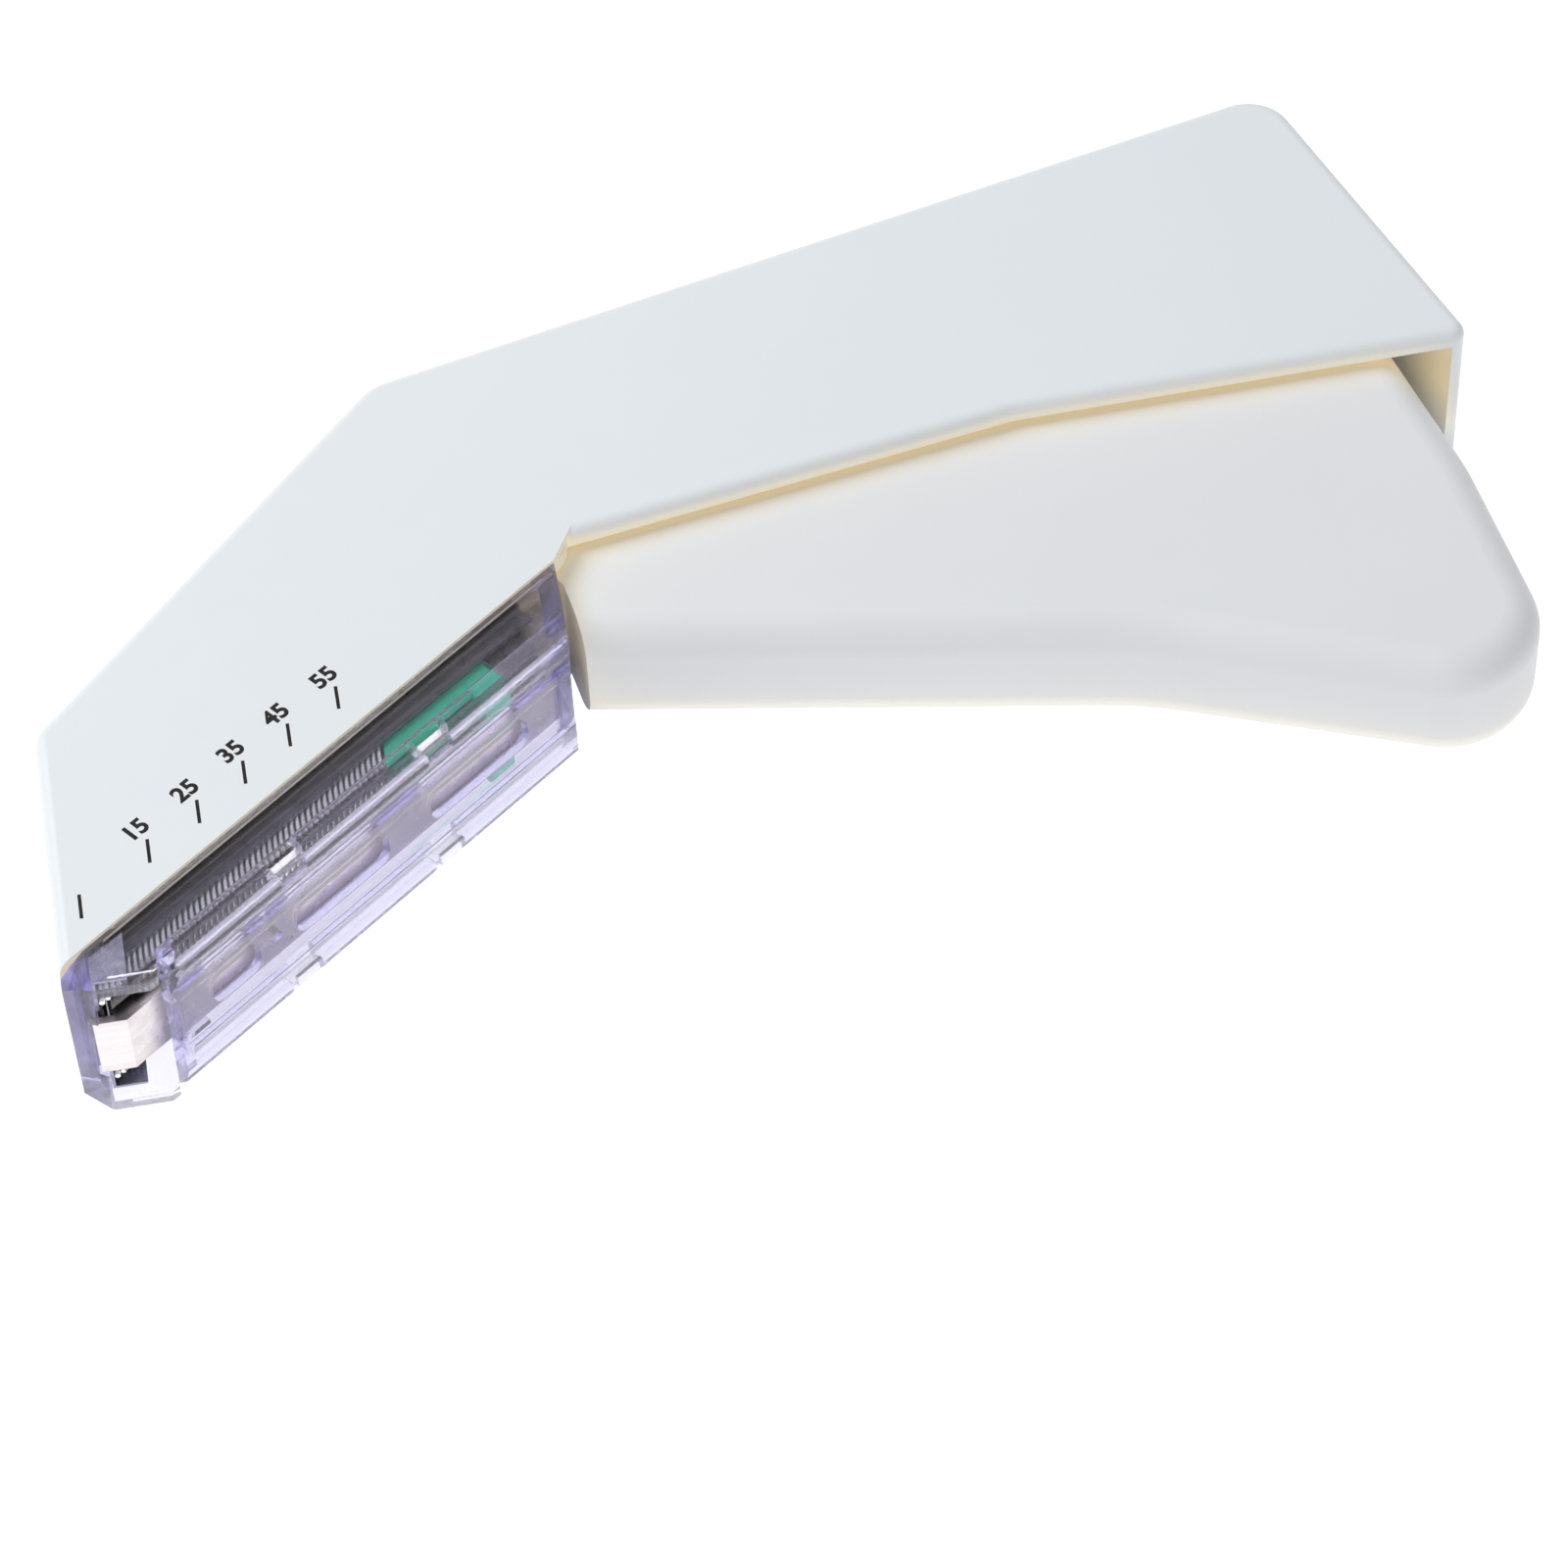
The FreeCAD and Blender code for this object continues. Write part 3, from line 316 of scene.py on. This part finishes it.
def tube(bm, path, radius, sides):
    """A closed round wire along a path of points, with flat ends."""
    rings = []
    for i, point in enumerate(path):
        ahead = (path[min(i + 1, len(path) - 1)] - path[max(i - 1, 0)]).normalized()
        if i == 0:
            side = ahead.orthogonal().normalized()
        side = (side - ahead * side.dot(ahead)).normalized()
        other = ahead.cross(side)
        ring = []
        for k in range(sides):
            turn = 2 * math.pi * k / sides
            ring.append(bm.verts.new(point + radius * (math.cos(turn) * side + math.sin(turn) * other)))
        rings.append(ring)
    for low, high in zip(rings, rings[1:]):
        for k in range(sides):
            face = bm.faces.new((low[k], low[(k + 1) % sides], high[(k + 1) % sides], high[k]))
            face.smooth = True
    bm.faces.new(rings[0][::-1])
    bm.faces.new(rings[-1])


def finish_mesh(bm, name):
    mesh = bpy.data.meshes.new(name)
    bmesh.ops.recalc_face_normals(bm, faces=bm.faces)
    bm.to_mesh(mesh)
    bm.free()
    return mesh


def staple_path(x):
    """Middle line of a staple at place x: up one leg, round the bends and down the other."""
    crown = (DRIVE_X * SIN + CROWN_LEVEL) / COS + (x - DRIVE_X) * SIN / COS
    half = STAPLE_WIDTH / 2
    path = [place(x, crown - STAPLE_LEG, MID - half)]
    for side in (-1, 1):
        centre = MID + side * (half - WIRE_BEND)
        for step in range(BEND_STEPS + 1):
            share = step / BEND_STEPS if side < 0 else 1 - step / BEND_STEPS
            turn = share * math.pi / 2
            path.append(place(x, crown - WIRE_BEND + WIRE_BEND * math.sin(turn),
                              centre + side * WIRE_BEND * math.cos(turn)))
    path.append(place(x, crown - STAPLE_LEG, MID + half))
    return path


def staple_row(material):
    """The loose staples, side by side behind each other on the track."""
    bm = bmesh.new()
    for i in range(STAPLE_COUNT):
        tube(bm, staple_path(DRIVE_X + i * STAPLE_PITCH), WIRE / 2 * MM, WIRE_SIDES)
    row = mesh_object("staple_row", finish_mesh(bm, "staple_row"), material, "housing")
    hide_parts("staple_stack")
    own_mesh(row)


def coil(name, start, along, length, radius, wire, turns, material):
    """A compression spring whose end turns lie flat on their seats."""
    side = Vector((0, 0, 1))
    other = along.cross(side)
    rise = length - wire
    flat_share = 1 / turns
    path = []
    for i in range(COIL_STEPS * turns + 1):
        share = i / (COIL_STEPS * turns)
        ease = min(max((share - flat_share / 2) / (1 - flat_share), 0), 1)
        turn = 2 * math.pi * share * turns
        path.append(start + MM * ((wire / 2 + rise * ease) * along
                                  + radius * (math.cos(turn) * side + math.sin(turn) * other)))
    bm = bmesh.new()
    tube(bm, path, wire / 2 * MM, WIRE_SIDES)
    return mesh_object(name, finish_mesh(bm, name), material, "housing")


def springs(material):
    spec = RETURN_SPRING
    up = Vector((0, 1, 0))
    spring = coil("return_coil", place(*spec["start"]), up, spec["length"], spec["radius"], spec["wire"],
                  spec["turns"], material)
    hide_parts("return_spring")
    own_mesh(spring)
    spec = FEED_SPRING
    low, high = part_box("feed_spring")
    reach = (high.x - low.x) / MM
    first = (low.x - CORNER.x) / MM
    outer = spec["radius"] + spec["wire"] / 2
    length = (reach - 2 * outer * SIN) / COS
    u = (first + outer * SIN + spec["level"] * SIN) / COS
    spring = coil("feed_coil", magazine(u, spec["level"], MID), ALONG, length, spec["radius"], spec["wire"],
                  spec["turns"], material)
    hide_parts("feed_spring")


def printed_scale(ink):
    """The count of staples printed on the head: a tick at each place and the number over it."""
    top = THICKNESS
    for index, ((x, y), words) in enumerate(TICKS):
        bm = bmesh.new()
        bmesh.ops.create_cube(bm, size=1)
        bmesh.ops.scale(bm, vec=Vector((TICK_WIDTH, TICK_LENGTH, INK_THICKNESS)) * MM, verts=bm.verts)
        bmesh.ops.translate(bm, vec=place(x, y, top), verts=bm.verts)
        mesh_object("tick_%d" % index, finish_mesh(bm, "tick"), ink, "housing")
        if words:
            numeral(words, x, y, top, ink)


def numeral(words, x, y, top, ink):
    curve = bpy.data.curves.new("numeral_" + words, "FONT")
    curve.body = words
    curve.size = DIGIT_SIZE * MM
    curve.align_x = "CENTER"
    curve.extrude = INK_THICKNESS / 2 * MM
    curve.offset = DIGIT_BOLD * MM
    curve.space_character = DIGIT_SPACING
    carrier = bpy.data.objects.new("numeral_text", curve)
    bpy.context.collection.objects.link(carrier)
    bpy.context.view_layer.update()
    mesh = bpy.data.meshes.new_from_object(carrier)
    bpy.data.objects.remove(carrier)
    turn = Matrix.Rotation(MAGAZINE_ANGLE, 4, "Z")
    mesh.transform(Matrix.Translation(place(x - DIGIT_BACK, y + DIGIT_RISE, top)) @ turn)
    mesh_object("number_" + words, mesh, ink, "housing")


def dress_frame():
    """Gives each node of the frame its finish."""
    # Cream colour of the painted shade and painted glow in the hollows of the moulded parts
    painted_hollow_cream = (0.93, 0.83, 0.62)
    white = moulded_plastic("housing_abs", (0.575, 0.605, 0.632), (0.565, 0.598, 0.625), painted_hollow_cream, 0.38)
    warm = moulded_plastic("lever_abs", (0.57, 0.585, 0.61), (0.56, 0.575, 0.597), painted_hollow_cream, 0.4)
    clear = clear_plastic("clear_polycarbonate", (0.975, 0.97, 0.995), 1.0, (0.40, 0.34, 0.95), 75)
    lilac = clear_plastic("lilac_polycarbonate", (0.965, 0.955, 0.99), 0.98, (0.36, 0.30, 0.95), 95)
    bright = steel("bright_steel", (0.42, 0.39, 0.40), (0.3, 0.28, 0.29), 0.28)
    dark = steel("guide_steel", (0.15, 0.15, 0.19), (0.09, 0.09, 0.12), 0.3, -MAGAZINE_ANGLE)
    # The anvil gets a painted shade in narrow gaps and under the close clear cover
    pale = steel("anvil_steel", (0.80, 0.75, 0.76), (0.66, 0.61, 0.63), 0.3, -MAGAZINE_ANGLE,
                 painted_shade_colour=(0.34, 0.30, 0.32))
    blue = steel("liner_steel", (0.42, 0.42, 0.5), (0.3, 0.3, 0.38), 0.25)
    wire = steel("spring_wire", (0.6, 0.6, 0.6), (0.45, 0.45, 0.46), 0.25)
    green = acetal("green_acetal", (0.03, 0.70, 0.42), (0.02, 0.60, 0.35))
    finishes = {
        white: ("housing",),
        warm: ("lever", "driver_carrier"),
        clear: ("cartridge_body",),
        lilac: ("cartridge_cover", "cartridge_end"),
        bright: ("lever_pivot_pin", "trunnion_pin", "driver_blade", "staple_track", "feed_rod"),
        dark: ("staple_guide",),
        blue: ("nose_guide",),
        pale: ("anvil",),
        wire: ("kicker_spring", "return_spring", "feed_spring"),
        green: ("follower",),
    }
    for material, nodes in finishes.items():
        for node in nodes:
            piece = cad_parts[node]
            piece.data.materials.clear()
            piece.data.materials.append(material)
    return wire


def add_floor():
    bm = bmesh.new()
    bmesh.ops.create_grid(bm, x_segments=1, y_segments=1, size=FLOOR_SIZE)
    floor = bpy.data.objects.new("floor", finish_mesh(bm, "floor"))
    bpy.context.collection.objects.link(floor)
    floor.location = (0, 0, -FLOOR_DROP)
    floor.data.materials.append(backdrop_paper("backdrop_paper"))


def area_light(name, place_at, size, power, colour):
    light = bpy.data.lights.new(name, "AREA")
    light.shape = "DISK"
    light.size = size
    light.energy = power
    light.color = colour
    lamp = bpy.data.objects.new(name, light)
    bpy.context.collection.objects.link(lamp)
    lamp.location = place_at
    lamp.rotation_mode = "QUATERNION"
    lamp.rotation_quaternion = (Vector(LIGHT_AIM) - Vector(place_at)).to_track_quat("-Z", "Y")


def add_light():
    world = bpy.data.worlds.new("studio")
    bpy.context.scene.world = world
    world.use_nodes = True
    background = world.node_tree.nodes["Background"]
    background.inputs["Color"].default_value = (1.0, 1.0, 1.0, 1)
    background.inputs["Strength"].default_value = SKY
    area_light("overhead", (-0.45, 0.3, 0.72), size=0.65, power=7.5, colour=(1.0, 0.995, 0.985))
    area_light("front_fill", (0.1, -1.1, 0.12), size=0.8, power=3.6, colour=(1.0, 0.99, 0.98))


def add_camera():
    data = bpy.data.cameras.new("camera")
    data.sensor_width = SENSOR_WIDTH
    data.lens = LENS
    data.clip_start = NEAR_LIMIT
    data.clip_end = FAR_LIMIT
    camera = bpy.data.objects.new("camera", data)
    bpy.context.collection.objects.link(camera)
    back = Vector((math.sin(AZIMUTH) * math.cos(ELEVATION), -math.cos(AZIMUTH) * math.cos(ELEVATION),
                   math.sin(ELEVATION)))
    camera.location = place(*AIM) + back * DISTANCE * MM
    camera.rotation_mode = "QUATERNION"
    camera.rotation_quaternion = (-back).to_track_quat("-Z", "Y") @ Quaternion((0, 0, 1), ROLL)
    bpy.context.scene.camera = camera


bpy.context.scene.view_settings.view_transform = "Standard"
spring_wire = dress_frame()
# The staple wires get a dark painted shade in the gaps between neighbours
staple_row(steel("staple_wire", (0.9, 0.9, 0.92), (0.78, 0.78, 0.8), 0.16,
                 painted_shade_colour=(0.04, 0.04, 0.05), reach=STAPLE_PAINTED_SHADE_REACH))
springs(spring_wire)
printed_scale(printing_ink("printing_ink"))
add_floor()
add_light()
add_camera()
